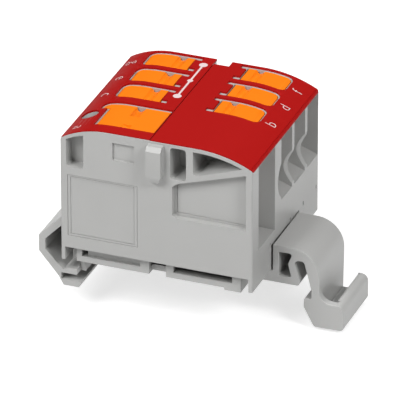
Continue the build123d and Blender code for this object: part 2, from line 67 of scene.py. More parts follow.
# Angles in degrees: faces that count as level, edges that are rounded, and smooth shading
LEVEL_ANGLE = 0.5
SHARP_ANGLE = 35.0
SMOOTH_ANGLE = 30.0
# The arc of one straight piece of a rounded corner, in degrees
ARC_STEP = 12.0
# The largest part of a face's reach that one rounding takes
ROUNDING_SHARE = 0.42
TINY = 1e-9

log = logging.getLogger("distribution_block")

Colour = tuple[float, float, float]
Point = tuple[float, float]
Place = tuple[float, float, float]


class Side(Enum):
    """The two long sides of the case that conductors enter."""

    LEFT = -1
    RIGHT = 1


class Slot(Enum):
    """The record's material slot names, which nothing below uses."""

    CASE = "case_grey"
    FOOT = "foot_grey"
    COVER = "cover_red"
    BUTTON = "button_orange"
    SPRING = "spring_steel"


def across(x: float, y: float, z: float) -> Vector:
    """A place in metres from millimetres in the case's own frame.

    Args:
        x: Distance from the middle of the case, towards the latch.
        y: Distance behind the front face.
        z: Height above the seating plane.

    Returns:
        The same place in the model's frame.
    """
    return Vector(((x + CASE_MIDDLE_X) * MM, (y - HALF_DEPTH) * MM, z * MM))


# Shader node groups


class GroupMaker:
    """Builds a shader node group with named inputs and outputs."""

    def __init__(self, name: str) -> None:
        """Starts an empty group of that name."""
        self.tree = bpy.data.node_groups.new(name, "ShaderNodeTree")
        self.start = self.tree.nodes.new("NodeGroupInput")
        self.end = self.tree.nodes.new("NodeGroupOutput")

    def takes(self, name: str, kind: str, value: object = None) -> None:
        """Adds an input socket with its usual value."""
        socket = self.tree.interface.new_socket(name, in_out="INPUT", socket_type=kind)
        if value is not None:
            socket.default_value = value

    def gives(self, name: str, kind: str) -> None:
        """Adds an output socket."""
        self.tree.interface.new_socket(name, in_out="OUTPUT", socket_type=kind)

    def node(self, kind: str, **values: object) -> bpy.types.Node:
        """Adds a node and sets its properties."""
        made = self.tree.nodes.new(kind)
        for name, value in values.items():
            setattr(made, name, value)
        return made

    def link(self, source: bpy.types.NodeSocket, target: bpy.types.NodeSocket) -> None:
        """Joins two sockets."""
        self.tree.links.new(source, target)


def moulded_surface_group() -> bpy.types.NodeTree:
    """The surface of a moulded plastic: faint mottling, flow marks and a fine spark texture.

    Returns:
        A group that puts out a colour, a roughness and a height.
    """
    group = GroupMaker("moulded_surface")
    group.takes("Colour", "NodeSocketColor", (0.5, 0.5, 0.5, 1))
    group.takes("Mottle", "NodeSocketFloat", 0.05)
    group.takes("Roughness", "NodeSocketFloat", 0.45)
    group.takes("Roughness Spread", "NodeSocketFloat", 0.1)
    group.takes("Grain Scale", "NodeSocketFloat", 6000.0)
    group.gives("Colour", "NodeSocketColor")
    group.gives("Roughness", "NodeSocketFloat")
    group.gives("Height", "NodeSocketFloat")

    place = group.node("ShaderNodeTexCoord")
    grain = group.node("ShaderNodeTexNoise")
    grain.inputs["Detail"].default_value = 3.0
    group.link(place.outputs["Object"], grain.inputs["Vector"])
    group.link(group.start.outputs["Grain Scale"], grain.inputs["Scale"])
    mottle = group.node("ShaderNodeTexNoise")
    mottle.inputs["Scale"].default_value = 160.0
    mottle.inputs["Detail"].default_value = 2.0
    group.link(place.outputs["Object"], mottle.inputs["Vector"])

    spread = group.node("ShaderNodeMath", operation="SUBTRACT")
    spread.inputs[1].default_value = 0.5
    group.link(mottle.outputs["Fac"], spread.inputs[0])
    gain = group.node("ShaderNodeMath", operation="MULTIPLY_ADD")
    gain.inputs[2].default_value = 1.0
    group.link(spread.outputs[0], gain.inputs[0])
    group.link(group.start.outputs["Mottle"], gain.inputs[1])
    tint = group.node("ShaderNodeVectorMath", operation="SCALE")
    group.link(group.start.outputs["Colour"], tint.inputs[0])
    group.link(gain.outputs[0], tint.inputs["Scale"])
    group.link(tint.outputs[0], group.end.inputs["Colour"])

    rough_step = group.node("ShaderNodeMath", operation="SUBTRACT")
    rough_step.inputs[1].default_value = 0.5
    group.link(grain.outputs["Fac"], rough_step.inputs[0])
    rough = group.node("ShaderNodeMath", operation="MULTIPLY_ADD")
    group.link(rough_step.outputs[0], rough.inputs[0])
    group.link(group.start.outputs["Roughness Spread"], rough.inputs[1])
    group.link(group.start.outputs["Roughness"], rough.inputs[2])
    group.link(rough.outputs[0], group.end.inputs["Roughness"])
    group.link(grain.outputs["Fac"], group.end.inputs["Height"])
    return group.tree


def rolled_metal_group() -> bpy.types.NodeTree:
    """The surface of rolled strip: streaks along the rolling direction.

    Returns:
        A group that puts out a colour, a roughness and a height.
    """
    group = GroupMaker("rolled_metal")
    group.takes("Colour", "NodeSocketColor", (0.6, 0.6, 0.6, 1))
    group.takes("Roughness", "NodeSocketFloat", 0.3)
    group.takes("Streak Scale", "NodeSocketVector", (200.0, 9000.0, 9000.0))
    group.gives("Colour", "NodeSocketColor")
    group.gives("Roughness", "NodeSocketFloat")
    group.gives("Height", "NodeSocketFloat")
    place = group.node("ShaderNodeTexCoord")
    stretch = group.node("ShaderNodeVectorMath", operation="MULTIPLY")
    group.link(place.outputs["Object"], stretch.inputs[0])
    group.link(group.start.outputs["Streak Scale"], stretch.inputs[1])
    streak = group.node("ShaderNodeTexNoise")
    streak.inputs["Scale"].default_value = 1.0
    streak.inputs["Detail"].default_value = 3.0
    group.link(stretch.outputs[0], streak.inputs["Vector"])
    gain = group.node("ShaderNodeMapRange")
    gain.inputs["To Min"].default_value = 0.85
    gain.inputs["To Max"].default_value = 1.1
    group.link(streak.outputs["Fac"], gain.inputs["Value"])
    tint = group.node("ShaderNodeVectorMath", operation="SCALE")
    group.link(group.start.outputs["Colour"], tint.inputs[0])
    group.link(gain.outputs["Result"], tint.inputs["Scale"])
    group.link(tint.outputs[0], group.end.inputs["Colour"])
    rough = group.node("ShaderNodeMath", operation="MULTIPLY")
    group.link(gain.outputs["Result"], rough.inputs[0])
    group.link(group.start.outputs["Roughness"], rough.inputs[1])
    group.link(rough.outputs[0], group.end.inputs["Roughness"])
    group.link(streak.outputs["Fac"], group.end.inputs["Height"])
    return group.tree


# Finishes


def surface_material(
    name: str,
    group: bpy.types.NodeTree,
    surface: dict[str, object],
    shading: dict[str, float],
    grain_height: float,
) -> bpy.types.Material:
    """Makes a material whose shared surface group feeds its own shader.

    Args:
        name: The material's name.
        group: The surface group, which puts out a colour, a roughness and a height.
        surface: The values of the group's inputs.
        shading: The values of the shader's own inputs.
        grain_height: How high the grain stands, in metres.

    Returns:
        The finished material.
    """
    made = bpy.data.materials.new(name)
    made.use_nodes = True
    nodes, links = made.node_tree.nodes, made.node_tree.links
    shader = nodes["Principled BSDF"]
    for socket, value in shading.items():
        shader.inputs[socket].default_value = value
    source = nodes.new("ShaderNodeGroup")
    source.node_tree = group
    for socket, value in surface.items():
        source.inputs[socket].default_value = value
    bump = nodes.new("ShaderNodeBump")
    bump.inputs["Distance"].default_value = grain_height
    links.new(source.outputs["Colour"], shader.inputs["Base Color"])
    links.new(source.outputs["Roughness"], shader.inputs["Roughness"])
    links.new(source.outputs["Height"], bump.inputs["Height"])
    links.new(bump.outputs["Normal"], shader.inputs["Normal"])
    return made


@dataclass(frozen=True)
class Plastic:
    """A moulded plastic finish."""

    name: str
    colour: Colour
    roughness: float = 0.45
    roughness_spread: float = 0.12
    mottle: float = 0.06
    grain_scale: float = 7000.0
    grain_height: float = 0.000004
    specular: float = 0.4

    def material(self, group: bpy.types.NodeTree) -> bpy.types.Material:
        """Makes the material.

        Args:
            group: The moulded_surface node group.

        Returns:
            The finished material.
        """
        return surface_material(self.name, group, {
            "Colour": (*self.colour, 1),
            "Mottle": self.mottle,
            "Roughness": self.roughness,
            "Roughness Spread": self.roughness_spread,
            "Grain Scale": self.grain_scale,
        }, {"Specular IOR Level": self.specular}, self.grain_height)


@dataclass(frozen=True)
class Metal:
    """A rolled metal finish."""

    name: str
    colour: Colour
    roughness: float
    streak_scale: Place = (200.0, 9000.0, 9000.0)
    grain_height: float = 0.000003

    def material(self, group: bpy.types.NodeTree) -> bpy.types.Material:
        """Makes the material.

        Args:
            group: The rolled_metal node group.

        Returns:
            The finished material.
        """
        return surface_material(self.name, group, {
            "Colour": (*self.colour, 1),
            "Roughness": self.roughness,
            "Streak Scale": self.streak_scale,
        }, {"Metallic": 1.0}, self.grain_height)


CASE_GREY = Plastic("case_polyamide", (0.47, 0.47, 0.46), roughness=0.42, specular=0.5)
FOOT_GREY = Plastic("foot_polyamide", (0.49, 0.49, 0.48), roughness=0.4, specular=0.5)
TRAY_GREY = Plastic("tray_polyamide", (0.40, 0.40, 0.39), roughness=0.55)
COVER_RED = Plastic("cover_red_plastic", (0.42, 0.007, 0.006), roughness=0.45, mottle=0.04,
                    specular=0.12)
BUTTON_ORANGE = Plastic("button_orange_plastic", (1.0, 0.225, 0.006), roughness=0.45,
                        mottle=0.04, specular=0.15)
PRINT_WHITE = Plastic("pad_print_white", (0.82, 0.66, 0.66), roughness=0.6, mottle=0.1)
TIN = Metal("tin_plated_copper", (0.72, 0.70, 0.66), 0.34)
SPRING = Metal("bright_spring_steel", (0.62, 0.62, 0.60), 0.26)


# Modelling helpers


def deselect() -> None:
    """Leaves nothing selected and no object active."""
    if bpy.context.mode != "OBJECT":
        bpy.ops.object.mode_set(mode="OBJECT")
    bpy.ops.object.select_all(action="DESELECT")
    bpy.context.view_layer.objects.active = None


def select_only(piece: bpy.types.Object) -> None:
    """Selects one object and makes it active."""
    deselect()
    piece.select_set(True)
    bpy.context.view_layer.objects.active = piece


def in_edit_mode(piece: bpy.types.Object, work: Callable[[], None]) -> None:
    """Runs some work in edit mode with the whole mesh selected.

    Args:
        piece: The object to work on.
        work: The operators to run.
    """
    select_only(piece)
    bpy.ops.object.mode_set(mode="EDIT")
    bpy.ops.mesh.select_all(action="SELECT")
    work()
    bpy.ops.object.mode_set(mode="OBJECT")


def apply_modifiers(piece: bpy.types.Object) -> None:
    """Applies every modifier in its order."""
    select_only(piece)
    for name in [modifier.name for modifier in piece.modifiers]:
        bpy.ops.object.modifier_apply(modifier=name)


def clean(merge: float = 0.002 * MM) -> None:
    """Merges doubles and joins level faces, in edit mode.

    Args:
        merge: Points this close together, in metres, become one.
    """
    bpy.ops.mesh.remove_doubles(threshold=merge)
    bpy.ops.mesh.dissolve_limited(angle_limit=math.radians(LEVEL_ANGLE), delimit={"NORMAL"})


def room_beside(mesh: bpy.types.Mesh, face: bpy.types.MeshPolygon, length: float) -> float:
    """How far a face reaches from one of its edges, roughly.

    Args:
        mesh: The mesh.
        face: The face.
        length: The edge's length.

    Returns:
        The reach: exact for a rectangle, the strip's width for a face with more corners.
    """
    if len(face.vertices) == 4:
        return face.area / max(length, TINY)
    places = [mesh.vertices[index].co for index in face.vertices]
    around = sum((a - b).length for a, b in zip(places, places[1:] + places[:1]))
    return 2 * face.area / max(around, TINY)


def weigh_edges(piece: bpy.types.Object, width: float) -> None:
    """Sets how much of the full rounding each sharp edge gets: less beside narrow faces.

    Args:
        piece: The object whose edges are weighed.
        width: The full rounding in metres.
    """
    mesh = piece.data
    sides: dict[tuple[int, int], list[bpy.types.MeshPolygon]] = {}
    for face in mesh.polygons:
        for key in face.edge_keys:
            sides.setdefault(key, []).append(face)
    weights = mesh.attributes.new("bevel_weight_edge", "FLOAT", "EDGE")
    for edge in mesh.edges:
        faces = sides.get(edge.key, [])
        if len(faces) != 2:
            continue
        if faces[0].normal.angle(faces[1].normal, 0.0) < math.radians(SHARP_ANGLE):
            continue
        start, end = (mesh.vertices[index].co for index in edge.vertices)
        length = (start - end).length
        room = min(room_beside(mesh, face, length) for face in faces)
        largest = min(width, ROUNDING_SHARE * room)
        weights.data[edge.index].value = largest / width


def round_edges(
    piece: bpy.types.Object,
    width: float,
    segments: int = 2,
    clamp: bool = True,
) -> None:
    """Rounds every sharp edge, and shades the rest smooth.

    Args:
        piece: The object to finish.
        width: The rounding's size in metres.
        segments: How many faces it takes.
        clamp: Whether the shortest edge limits all of the rounding.
    """
    weigh_edges(piece, width)
    bevel = piece.modifiers.new("rounding", "BEVEL")
    bevel.width = width
    bevel.segments = segments
    bevel.limit_method = "WEIGHT"
    bevel.miter_outer = "MITER_ARC"
    bevel.use_clamp_overlap = clamp
    apply_modifiers(piece)
    select_only(piece)
    bpy.ops.object.shade_smooth_by_angle(angle=math.radians(SMOOTH_ANGLE))
    level = piece.modifiers.new("level_faces", "WEIGHTED_NORMAL")
    level.keep_sharp = True
    apply_modifiers(piece)


def dress(piece: bpy.types.Object, material: bpy.types.Material) -> None:
    """Gives the piece one material and no other."""
    piece.data.materials.clear()
    piece.data.materials.append(material)


def merged_copy(node: str, name: str) -> bpy.types.Object:
    """Copies a CAD node into a new piece with one clean mesh.

    Args:
        node: The CAD node.
        name: The name of the new piece.

    Returns:
        The copy. The caller hides the CAD node it stands in for, and may hang it on a body.
    """
    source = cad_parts[node]
    piece = bpy.data.objects.new(name, source.data.copy())
    bpy.context.scene.collection.objects.link(piece)
    in_edit_mode(piece, clean)
    return piece


def stands_for(piece: bpy.types.Object, node: str, body: str) -> None:
    """Hangs a piece on its body and hides the CAD node it stands in for."""
    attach(piece, body)
    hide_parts(node)


@dataclass
class Corner:
    """One corner of a moulded outline, in the case's own millimetres."""

    x: float
    z: float
    radius: float = 0.0


def rounded_outline(corners: Sequence[Corner]) -> list[Point]:
    """Rounds the corners of a closed outline.

    Args:
        corners: The corners in order.

    Returns:
        The (x, z) points of the outline.
    """
    points: list[Point] = []
    for index, corner in enumerate(corners):
        here = Vector((corner.x, corner.z))
        before = (Vector((corners[index - 1].x, corners[index - 1].z)) - here).normalized()
        following = corners[(index + 1) % len(corners)]
        after = (Vector((following.x, following.z)) - here).normalized()
        turn = before.angle(after)
        if not corner.radius or turn > math.radians(179):
            points.append((here.x, here.y))
            continue
        reach = corner.radius / math.tan(turn / 2)
        centre = here + (before + after).normalized() * corner.radius / math.sin(turn / 2)
        first, last = here + before * reach - centre, here + after * reach - centre
        count = max(2, round(math.degrees(math.pi - turn) / ARC_STEP))
        swing = first.angle_signed(last)
        for share in range(count + 1):
            angle = -swing * share / count
            spoke = Vector((first.x * math.cos(angle) - first.y * math.sin(angle),
                            first.x * math.sin(angle) + first.y * math.cos(angle)))
            points.append((centre.x + spoke.x, centre.y + spoke.y))
    return points


def moulded_section(
    name: str, outlines: Iterable[list[Point]], front: float, back: float
) -> bpy.types.Object:
    """Carries filled outlines through a depth, as one closed mesh.

    Args:
        name: The name of the new object.
        outlines: The outer outline, and any holes, as (x, z) points in millimetres.
        front: Where the section starts behind the front face, in millimetres.
        back: Where it ends.

    Returns:
        The new object, with its place in its mesh.
    """
    curve = bpy.data.curves.new(name, "CURVE")
    curve.dimensions = "2D"
    curve.fill_mode = "BOTH"
    curve.extrude = (back - front) / 2
    for outline in outlines:
        spline = curve.splines.new("POLY")
        spline.points.add(len(outline) - 1)
        for point, (x, z) in zip(spline.points, outline):
            point.co = (x, z, 0, 1)
        spline.use_cyclic_u = True
    piece = bpy.data.objects.new(name, curve)
    bpy.context.scene.collection.objects.link(piece)
    select_only(piece)
    bpy.ops.object.convert(target="MESH")
    piece = bpy.context.view_layer.objects.active
    middle = (front + back) / 2
    for vertex in piece.data.vertices:
        x, z, y = vertex.co
        vertex.co = across(x, middle - y, z)

    def close() -> None:
        """Joins the sheets into one solid that faces outwards."""
        bpy.ops.mesh.remove_doubles(threshold=0.001 * MM)
        bpy.ops.mesh.normals_make_consistent(inside=False)
        bpy.ops.mesh.dissolve_limited(angle_limit=math.radians(LEVEL_ANGLE))

    in_edit_mode(piece, close)
    return piece


def solid_box(name: str, low: Place, high: Place) -> bpy.types.Object:
    """Makes a box between two corners in the case's own millimetres.

    Args:
        name: The name of the new object.
        low: The corner with the least x, y and z.
        high: The corner with the greatest.

    Returns:
        The new object, with its place in its mesh.
    """
    deselect()
    bpy.ops.mesh.primitive_cube_add(size=1)
    piece = bpy.context.view_layer.objects.active
    piece.name = name
    for vertex in piece.data.vertices:
        share = [value + 0.5 for value in vertex.co]
        vertex.co = across(*(a + (b - a) * part for a, b, part in zip(low, high, share)))
    return piece


def combine(piece: bpy.types.Object, other: bpy.types.Object, operation: str) -> None:
    """Joins the other solid to the piece or takes it away, and deletes the other.

    Args:
        piece: The object that is kept.
        other: The solid that is used up.
        operation: UNION or DIFFERENCE.
    """
    boolean = piece.modifiers.new("combine", "BOOLEAN")
    boolean.operation = operation
    boolean.solver = "EXACT"
    boolean.object = other
    apply_modifiers(piece)
    bpy.data.objects.remove(other)


def cut_away(piece: bpy.types.Object, cutter: bpy.types.Object) -> None:
    """Takes the cutter's solid out of the piece, and deletes the cutter."""
    combine(piece, cutter, "DIFFERENCE")


# The block's parts


@dataclass
class Case:
    """The grey case with its channels and pockets. Its opening for the latch is a little
    larger than the model's, and fine grooves mark the front's fields."""

    rounding: float = 0.12 * MM
    latch_opening: tuple[float, float] = (7.6, 19.0)
    opening_height: tuple[float, float] = (-1.0, 6.63)
    opening_wall: tuple[float, float] = (12.8, 15.4)
    overlap: float = 0.2
    groove_width: float = 0.07
    label_fields: tuple[tuple[float, float, float, float, float], ...] = (
        (-13.35, -2.8, 6.75, 16.45, 0.13),
        (-12.92, -3.3, 7.1, 16.2, 0.18),
    )
    panel_outline: tuple[Point, ...] = (
        (2.8, 11.0), (2.8, 6.8), (3.25, 6.4), (13.1, 3.35), (13.1, 11.2))
    panel_groove: tuple[float, float] = (0.8, 1.16)
    panel_inset: float = 1.4

    def build(self, grey: bpy.types.Material) -> None:
        """Opens the wall beside the latch, rounds the edges and dresses the moulding."""
        piece = merged_copy("case", "case_moulding")
        front, back = self.latch_opening
        inner, outer = self.opening_wall
        low, high = self.opening_height
        cut_away(piece, solid_box("opening_cutter", (inner, front, low), (outer, back, high)))
        self.cut_grooves(piece)
        in_edit_mode(piece, clean)
        round_edges(piece, self.rounding)
        dress(piece, grey)
        stands_for(piece, "case", "block")
        log.info("case: %d faces", len(piece.data.polygons))

    def cut_grooves(self, piece: bpy.types.Object) -> None:
        """Cuts the fine grooves round the label field and the right-hand panel."""
        width = self.groove_width
        for left, right, low, high, depth in self.label_fields:
            border = solid_box("groove", (left, -self.overlap, low), (right, depth, high))
            core = solid_box("core", (left + width, -2 * self.overlap, low + width),
                             (right - width, depth + self.overlap, high - width))
            cut_away(border, core)
            cut_away(piece, border)
        outer = [(x, COVER_TOP - drop) for x, drop in self.panel_outline]
        middle = Vector((sum(x for x, _ in outer), sum(z for _, z in outer))) / len(outer)
        inner = []
        for x, z in outer:
            inward = (middle - Vector((x, z))).normalized() * width * self.panel_inset
            inner.append((x + inward.x, z + inward.y))
        front, back = self.panel_groove
        cut_away(piece, moulded_section("panel_groove", [outer, inner], front, back))


@dataclass
class Covers:
    """The two red covers and what is printed on them."""

    side_bevel: float = 0.14
    side_groove: tuple[float, float] = (0.3, 0.06)
    rounding: float = 0.08 * MM
    seam_cut: float = 0.09
    seam_reach: float = 0.5
    through: tuple[float, float] = (-2.0, 30.0)
    seam_height: tuple[float, float] = (20.0, 26.0)
    groove_span: tuple[float, float] = (0.5, 26.4)
    groove_top: float = 25.0
    overlap: float = 0.01
    left_step: float = 0.05
    seam: float = -0.97
    left_flat: float = 7.5
    right_flat: float = 6.0
    left_drop: float = 2.0
    right_drop: float = 2.1
    half_width: float = 14.4
    print_height: float = 0.02
    letter_size: dict[Side, float] = field(
        default_factory=lambda: {Side.LEFT: 2.5, Side.RIGHT: 2.25})
    stroke_offset: float = -0.036
    line_width: float = 0.3
    bridge_x: float = -2.2
    bridge_rows: tuple[float, ...] = (14.05, 19.15, 24.4)
    dot_radii: tuple[float, ...] = (0.62, 0.42, 0.62)
    dot_lift: float = 0.005
    dot_corners: int = 24
    line_parts: int = 8
    letters: tuple[tuple[str, Side, float], ...] = (
        ("a", Side.LEFT, 2.1),
        ("c", Side.LEFT, 12.8),
        ("e", Side.LEFT, 18.3),
        ("g", Side.LEFT, 23.6),
        ("b", Side.RIGHT, 12.9),
        ("d", Side.RIGHT, 18.4),
        ("f", Side.RIGHT, 23.55),
    )
    letter_x: dict[Side, float] = field(
        default_factory=lambda: {Side.LEFT: -12.45, Side.RIGHT: 12.4})

    def height(self, x: float) -> float:
        """The height of the covers' top over one place across the case, in millimetres."""
        left = x < self.seam
        flat = self.left_flat if left else self.right_flat
        drop = self.left_drop if left else self.right_drop
        level = COVER_TOP + (self.left_step if left else 0)
        over = abs(x) - flat
        if over <= 0:
            return level
        span = self.half_width - flat
        radius = (span**2 + drop**2) / (2 * drop)
        return level - radius + math.sqrt(radius**2 - over**2)

    def build(self, red: bpy.types.Material, white: bpy.types.Material) -> None:
        """Rounds and dresses both covers, and prints on them."""
        front, back = self.through
        low, high = self.seam_height
        for name in ("cover_left", "cover_right"):
            piece = merged_copy(name, f"{name}_moulding")
            side = Side.LEFT if name == "cover_left" else Side.RIGHT
            if side is Side.LEFT:
                cut_away(piece, solid_box("seam_cutter", (self.seam - self.seam_cut, front, low),
                                          (self.seam + self.seam_reach, back, high)))
            self.bevel_side(piece, side)
            in_edit_mode(piece, clean)
            round_edges(piece, self.rounding)
            dress(piece, red)
            stands_for(piece, name, "block")
            log.info("%s: %d faces", name, len(piece.data.polygons))
        for letter, side, y in self.letters:
            self.print_letter(letter, side, y, white)
        self.print_bridge(white)

    def bevel_side(self, piece: bpy.types.Object, side: Side) -> None:
        """Takes the sharp edge off a cover's outer side."""
        inner_x = self.half_width - self.side_bevel
        high = self.height(side.value * inner_x)
        low = self.height(side.value * self.half_width) - self.side_bevel
        beyond = self.half_width + 1
        outline = [(inner_x, high), (self.half_width + self.overlap, low), (beyond, low),
                   (beyond, high + 1), (inner_x, high + 1)]
        if side is Side.LEFT:
            outline = [(-x, z) for x, z in reversed(outline)]
        cut_away(piece, moulded_section("side_bevel", [outline], *self.through))
        inset, width = self.side_groove
        edges = sorted(side.value * (self.half_width - inset - part) for part in (0, width))
        depth = self.height(edges[0]) - 2 * width
        front, back = self.groove_span
        cut_away(piece, solid_box("side_groove", (edges[0], front, depth),
                                  (edges[1], back, self.groove_top)))

    def lay_on_cover(self, piece: bpy.types.Object) -> None:
        """Drops a flat mesh, drawn in the case's own millimetres, onto the covers."""
        for vertex in piece.data.vertices:
            x, y, lift = vertex.co
            vertex.co = across(x, y, self.height(x) + self.print_height + lift)

    def print_letter(self, letter: str, side: Side, y: float, white: bpy.types.Material) -> None:
        """Prints one position letter, which reads from the outside of its row.

        Args:
            letter: The letter.
            side: The cover's side.
            y: Its place behind the front face, in millimetres.
            white: The print's material.
        """
        deselect()
        bpy.ops.object.text_add()
        text = bpy.context.view_layer.objects.active
        text.data.body = letter
        text.data.size = self.letter_size[side]
        text.data.align_x = "CENTER"
        text.data.align_y = "CENTER"
        text.data.offset = self.stroke_offset
        bpy.ops.object.convert(target="MESH")
        piece = bpy.context.view_layer.objects.active
        piece.name = f"print_letter_{letter}"
        in_edit_mode(piece, lambda: bpy.ops.mesh.subdivide(number_cuts=1))
        turn = -side.value
        for vertex in piece.data.vertices:
            along, up, _ = vertex.co
            vertex.co = (self.letter_x[side] + turn * up, y - turn * along, 0)
        self.lay_on_cover(piece)
        dress(piece, white)
        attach(piece, "block")

    def print_bridge(self, white: bpy.types.Material) -> None:
        """Prints the symbol that joins the rows: a line with a dot at each row."""
        deselect()
        first, last = self.bridge_rows[0], self.bridge_rows[-1]
        bpy.ops.mesh.primitive_grid_add(x_subdivisions=1, y_subdivisions=self.line_parts, size=1)
        line = bpy.context.view_layer.objects.active
        for vertex in line.data.vertices:
            vertex.co = (self.bridge_x + vertex.co.x * self.line_width,
                         (first + last) / 2 + vertex.co.y * (last - first), 0)
        self.lay_on_cover(line)
        line.name = "print_bridge_line"
        dress(line, white)
        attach(line, "block")
        for index, (y, radius) in enumerate(zip(self.bridge_rows, self.dot_radii)):
            deselect()
            bpy.ops.mesh.primitive_circle_add(vertices=self.dot_corners, radius=radius,
                                              fill_type="NGON")
            dot = bpy.context.view_layer.objects.active
            for vertex in dot.data.vertices:
                vertex.co = (self.bridge_x + vertex.co.x, y + vertex.co.y, self.dot_lift)
            self.lay_on_cover(dot)
            dot.name = f"print_bridge_dot_{index}"
            dress(dot, white)
            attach(dot, "block")


@dataclass
class Buttons:
    """The seven orange push buttons."""

    left_names: str = "aceg"
    right_names: str = "bdf"
    rounding: float = 0.18 * MM
    inner_gap: float = 0.14 * MM
    gap_depth: float = 2.5 * MM
    top_band: float = 1.0 * MM
    cutter_width: float = 0.1

    def clear_inner_end(self, piece: bpy.types.Object, side: Side) -> None:
        """Widens the gap at the button's end towards the middle of the block."""
        places = [vertex.co for vertex in piece.data.vertices]
        top = max(place.z for place in places)
        inner = max(-side.value * place.x for place in places if place.z > top - self.top_band)
        deselect()
        bpy.ops.mesh.primitive_cube_add(size=1)
        cutter = bpy.context.view_layer.objects.active
        for vertex in cutter.data.vertices:
            x, y, z = vertex.co
            reach = inner + (MM if x > 0 else -self.inner_gap)
            vertex.co = (-side.value * reach, y * self.cutter_width,
                         top + (MM if z > 0 else -self.gap_depth))
        in_edit_mode(cutter, lambda: bpy.ops.mesh.normals_make_consistent(inside=False))
        cut_away(piece, cutter)

    def build(self, orange: bpy.types.Material) -> None:
        """Rounds and dresses each button."""
        for name in self.left_names + self.right_names:
            piece = merged_copy(f"button_{name}", f"button_{name}_moulding")
            side = Side.LEFT if name in self.left_names else Side.RIGHT
            self.clear_inner_end(piece, side)
            in_edit_mode(piece, clean)
            round_edges(piece, self.rounding)
            dress(piece, orange)
            stands_for(piece, f"button_{name}", f"push_{name}")
        log.info("buttons: %d", len(self.left_names + self.right_names))


@dataclass
class Foot:
    """The foot with its hook, up to where the sprung moulding starts."""

    rounding: float = 0.12 * MM
    beam_space: tuple[Place, Place] = ((4.0, 8.5, -2.0), (15.0, 19.5, 2.3))
    box_space: tuple[Place, Place] = ((13.78, 5.0, -2.0), (21.0, 22.0, 8.0))

    def build(self, grey: bpy.types.Material) -> None:
        """Cuts the latch's box and beam off a copy of the foot, and dresses the rest."""
        piece = merged_copy("foot", "foot_moulding")
        cut_away(piece, solid_box("beam_cutter", *self.beam_space))
        cut_away(piece, solid_box("box_cutter", *self.box_space))
        in_edit_mode(piece, clean)
        round_edges(piece, self.rounding)
        dress(piece, grey)
        stands_for(piece, "foot", "block")
        log.info("foot: %d faces", len(piece.data.polygons))


@dataclass
class SprungLatch:
    """The sprung moulding: beam, box, arch, arm, nose and lip with its pocket."""

    front: float = 7.9
    back: float = 18.4
    near_wall: float = 1.2
    left: float = 14.5
    shoulder: float = 2.5
    beam_left: float = 5.75
    beam_top: float = 2.28
    beam_end: float = 13.76
    arch_x: float = 17.4
    arch_z: float = 2.45
    arch_radius: float = 4.1
    arch_parts: int = 16
    rounding: float = 0.11 * MM
    merge: float = 0.03 * MM
    bend_y: float = 13.9
    bend_start: tuple[float, float] = (18.25, 0.35)
    bend_end: tuple[float, float] = (19.5, -0.05)
    outer: tuple[Corner, ...] = (
        Corner(5.75, 0.67),
        Corner(18.37, 0.67, 0.35),
        Corner(18.65, 1.45, 0.4),
        Corner(17.82, 3.9, 1.2),
        Corner(17.86, 4.62, 0.6),
        Corner(19.18, 4.66, 0.55),
        Corner(20.3, 0.3, 1.0),
        Corner(20.3, -1.1, 0.3),
        Corner(19.2, -1.1, 0.3),
        Corner(19.17, -2.5, 0.5),
        Corner(20.72, -5.42, 0.5),
        Corner(25.15, -5.35, 0.55),
        Corner(25.15, -1.4, 1.0),
        Corner(23.5, -1.4, 0.6),
        Corner(23.5, -4.1, 0.3),
        Corner(21.5, -4.1, 0.65),
    )
    hole: tuple[Corner, ...] = (
        Corner(15.42, 1.83, 0.2),
        Corner(17.3, 1.83, 0.3),
        Corner(16.76, 3.9, 1.0),
        Corner(17.45, 5.58, 0.35),
        Corner(15.42, 5.58, 0.2),
    )
    near_web: tuple[Corner, ...] = (
        Corner(21.0, -4.6),
        Corner(24.0, -4.6),
        Corner(24.0, -1.4),
        Corner(21.5, -1.4, 1.6),
        Corner(21.5, 1.0),
        Corner(21.0, 1.0),
    )

    def outline(self) -> list[Point]:
        """The outer outline, with the arch as one arc."""
        points = rounded_outline(self.outer)
        for share in range(self.arch_parts + 1):
            angle = math.radians(90 * share / self.arch_parts)
            points.append((self.arch_x + self.arch_radius * math.cos(angle),
                           self.arch_z + self.arch_radius * math.sin(angle)))
        points += [(self.left, self.arch_z + self.arch_radius), (self.left, self.shoulder),
                   (self.beam_end, self.shoulder), (self.beam_end, self.beam_top),
                   (self.beam_left, self.beam_top)]
        return points

    def build(self, grey: bpy.types.Material) -> None:
        """Models the moulding, rounds it, dresses it and hides the CAD latch."""
        outlines = [self.outline(), rounded_outline(self.hole)]
        piece = moulded_section("latch_moulding", outlines, self.front, self.back)
        web = moulded_section("near_web", [rounded_outline(self.near_web)],
                              self.front, self.front + self.near_wall)
        combine(piece, web, "UNION")
        in_edit_mode(piece, lambda: clean(merge=self.merge))
        round_edges(piece, self.rounding, segments=3, clamp=False)
        dress(piece, grey)
        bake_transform(piece)
        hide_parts("latch")
        log.info("latch: %d faces", len(piece.data.polygons))


